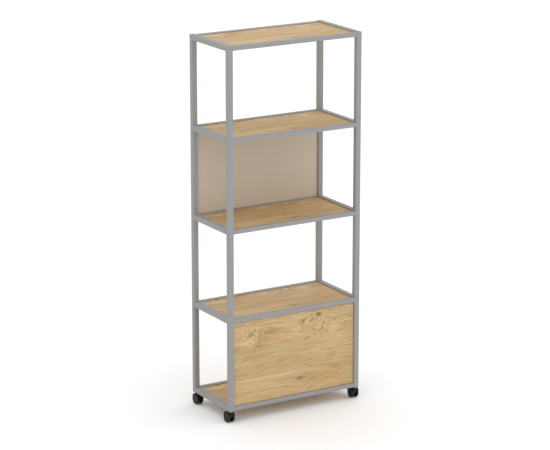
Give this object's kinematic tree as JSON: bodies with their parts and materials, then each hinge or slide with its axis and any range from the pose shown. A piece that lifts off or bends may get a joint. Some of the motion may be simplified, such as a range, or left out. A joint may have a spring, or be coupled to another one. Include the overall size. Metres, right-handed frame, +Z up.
{
  "type": "mobile shelving unit",
  "caption": "Tall open shelving unit on swivel casters: grey square-tube frame, inset wood-decor shelves, a closed lower front and a plain back panel in a middle bay.",
  "frame": {"origin": "on the floor, under the middle of the frame", "axes": "+X along the width to the right as seen from the front, -Y towards the front, +Z up"},
  "size_m": [0.708, 0.35, 1.755],
  "materials": {
    "frame_steel": "satin grey powder coat on square steel tube",
    "oak_board": "matt melamine with a light oak decor, grain along the width",
    "taupe_panel": "matt plain taupe laminate on board",
    "caster_plastic": "black moulded nylon, satin",
    "stem_steel": "black zinc-plated steel",
    "zinc_screw": "zinc-plated screws"
  },
  "bodies": {
    "frame": {"post_front_left": "frame_steel", "post_front_right": "frame_steel", "post_back_left": "frame_steel", "post_back_right": "frame_steel", "post_caps": "frame_steel", "side_rail_left_1": "frame_steel", "side_rail_right_1": "frame_steel", "front_rail_1": "frame_steel", "back_rail_1": "frame_steel", "shelf_1": "oak_board", "side_rail_left_2": "frame_steel", "side_rail_right_2": "frame_steel", "front_rail_2": "frame_steel", "back_rail_2": "frame_steel", "shelf_2": "oak_board", "side_rail_left_3": "frame_steel", "side_rail_right_3": "frame_steel", "front_rail_3": "frame_steel", "back_rail_3": "frame_steel", "shelf_3": "oak_board", "side_rail_left_4": "frame_steel", "side_rail_right_4": "frame_steel", "front_rail_4": "frame_steel", "back_rail_4": "frame_steel", "shelf_4": "oak_board", "side_rail_left_5": "frame_steel", "side_rail_right_5": "frame_steel", "front_rail_5": "frame_steel", "back_rail_5": "frame_steel", "shelf_5": "oak_board", "rail_spigots": "frame_steel", "rail_screws": "zinc_screw", "shelf_tabs": "frame_steel", "shelf_screws": "zinc_screw", "front_panel": "oak_board", "back_panel": "taupe_panel", "panel_tabs": "frame_steel", "panel_screws": "zinc_screw", "stem_inserts": "stem_steel", "stem_clips": "stem_steel", "caster_front_left_stem": "stem_steel", "caster_front_right_stem": "stem_steel", "caster_back_left_stem": "stem_steel", "caster_back_right_stem": "stem_steel"},
    "caster_front_left": {"caster_front_left_housing": "caster_plastic", "caster_front_left_axle": "stem_steel"},
    "caster_front_left_wheel_left": {"caster_front_left_wheel_left": "caster_plastic"},
    "caster_front_left_wheel_right": {"caster_front_left_wheel_right": "caster_plastic"},
    "caster_front_right": {"caster_front_right_housing": "caster_plastic", "caster_front_right_axle": "stem_steel"},
    "caster_front_right_wheel_left": {"caster_front_right_wheel_left": "caster_plastic"},
    "caster_front_right_wheel_right": {"caster_front_right_wheel_right": "caster_plastic"},
    "caster_back_left": {"caster_back_left_housing": "caster_plastic", "caster_back_left_axle": "stem_steel"},
    "caster_back_left_wheel_left": {"caster_back_left_wheel_left": "caster_plastic"},
    "caster_back_left_wheel_right": {"caster_back_left_wheel_right": "caster_plastic"},
    "caster_back_right": {"caster_back_right_housing": "caster_plastic", "caster_back_right_axle": "stem_steel"},
    "caster_back_right_wheel_left": {"caster_back_right_wheel_left": "caster_plastic"},
    "caster_back_right_wheel_right": {"caster_back_right_wheel_right": "caster_plastic"}
  },
  "joints": [
    {"name": "caster_front_left_swivel", "type": "hinge", "parent": "frame", "child": "caster_front_left", "pos_m": [-0.3375, -0.1625, 0.055], "axis": [0, 0, 1], "continuous": true},
    {"name": "caster_front_left_wheel_left_roll", "type": "hinge", "parent": "caster_front_left", "child": "caster_front_left_wheel_left", "pos_m": [-0.3375, -0.1465, 0.025], "axis": [1, 0, 0], "continuous": true},
    {"name": "caster_front_left_wheel_right_roll", "type": "hinge", "parent": "caster_front_left", "child": "caster_front_left_wheel_right", "pos_m": [-0.3375, -0.1465, 0.025], "axis": [1, 0, 0], "continuous": true},
    {"name": "caster_front_right_swivel", "type": "hinge", "parent": "frame", "child": "caster_front_right", "pos_m": [0.3375, -0.1625, 0.055], "axis": [0, 0, 1], "continuous": true},
    {"name": "caster_front_right_wheel_left_roll", "type": "hinge", "parent": "caster_front_right", "child": "caster_front_right_wheel_left", "pos_m": [0.3375, -0.1465, 0.025], "axis": [1, 0, 0], "continuous": true},
    {"name": "caster_front_right_wheel_right_roll", "type": "hinge", "parent": "caster_front_right", "child": "caster_front_right_wheel_right", "pos_m": [0.3375, -0.1465, 0.025], "axis": [1, 0, 0], "continuous": true},
    {"name": "caster_back_left_swivel", "type": "hinge", "parent": "frame", "child": "caster_back_left", "pos_m": [-0.3375, 0.1625, 0.055], "axis": [0, 0, 1], "continuous": true},
    {"name": "caster_back_left_wheel_left_roll", "type": "hinge", "parent": "caster_back_left", "child": "caster_back_left_wheel_left", "pos_m": [-0.3375, 0.1465, 0.025], "axis": [1, 0, 0], "continuous": true},
    {"name": "caster_back_left_wheel_right_roll", "type": "hinge", "parent": "caster_back_left", "child": "caster_back_left_wheel_right", "pos_m": [-0.3375, 0.1465, 0.025], "axis": [1, 0, 0], "continuous": true},
    {"name": "caster_back_right_swivel", "type": "hinge", "parent": "frame", "child": "caster_back_right", "pos_m": [0.3375, 0.1625, 0.055], "axis": [0, 0, 1], "continuous": true},
    {"name": "caster_back_right_wheel_left_roll", "type": "hinge", "parent": "caster_back_right", "child": "caster_back_right_wheel_left", "pos_m": [0.3375, 0.1465, 0.025], "axis": [1, 0, 0], "continuous": true},
    {"name": "caster_back_right_wheel_right_roll", "type": "hinge", "parent": "caster_back_right", "child": "caster_back_right_wheel_right", "pos_m": [0.3375, 0.1465, 0.025], "axis": [1, 0, 0], "continuous": true}
  ]
}
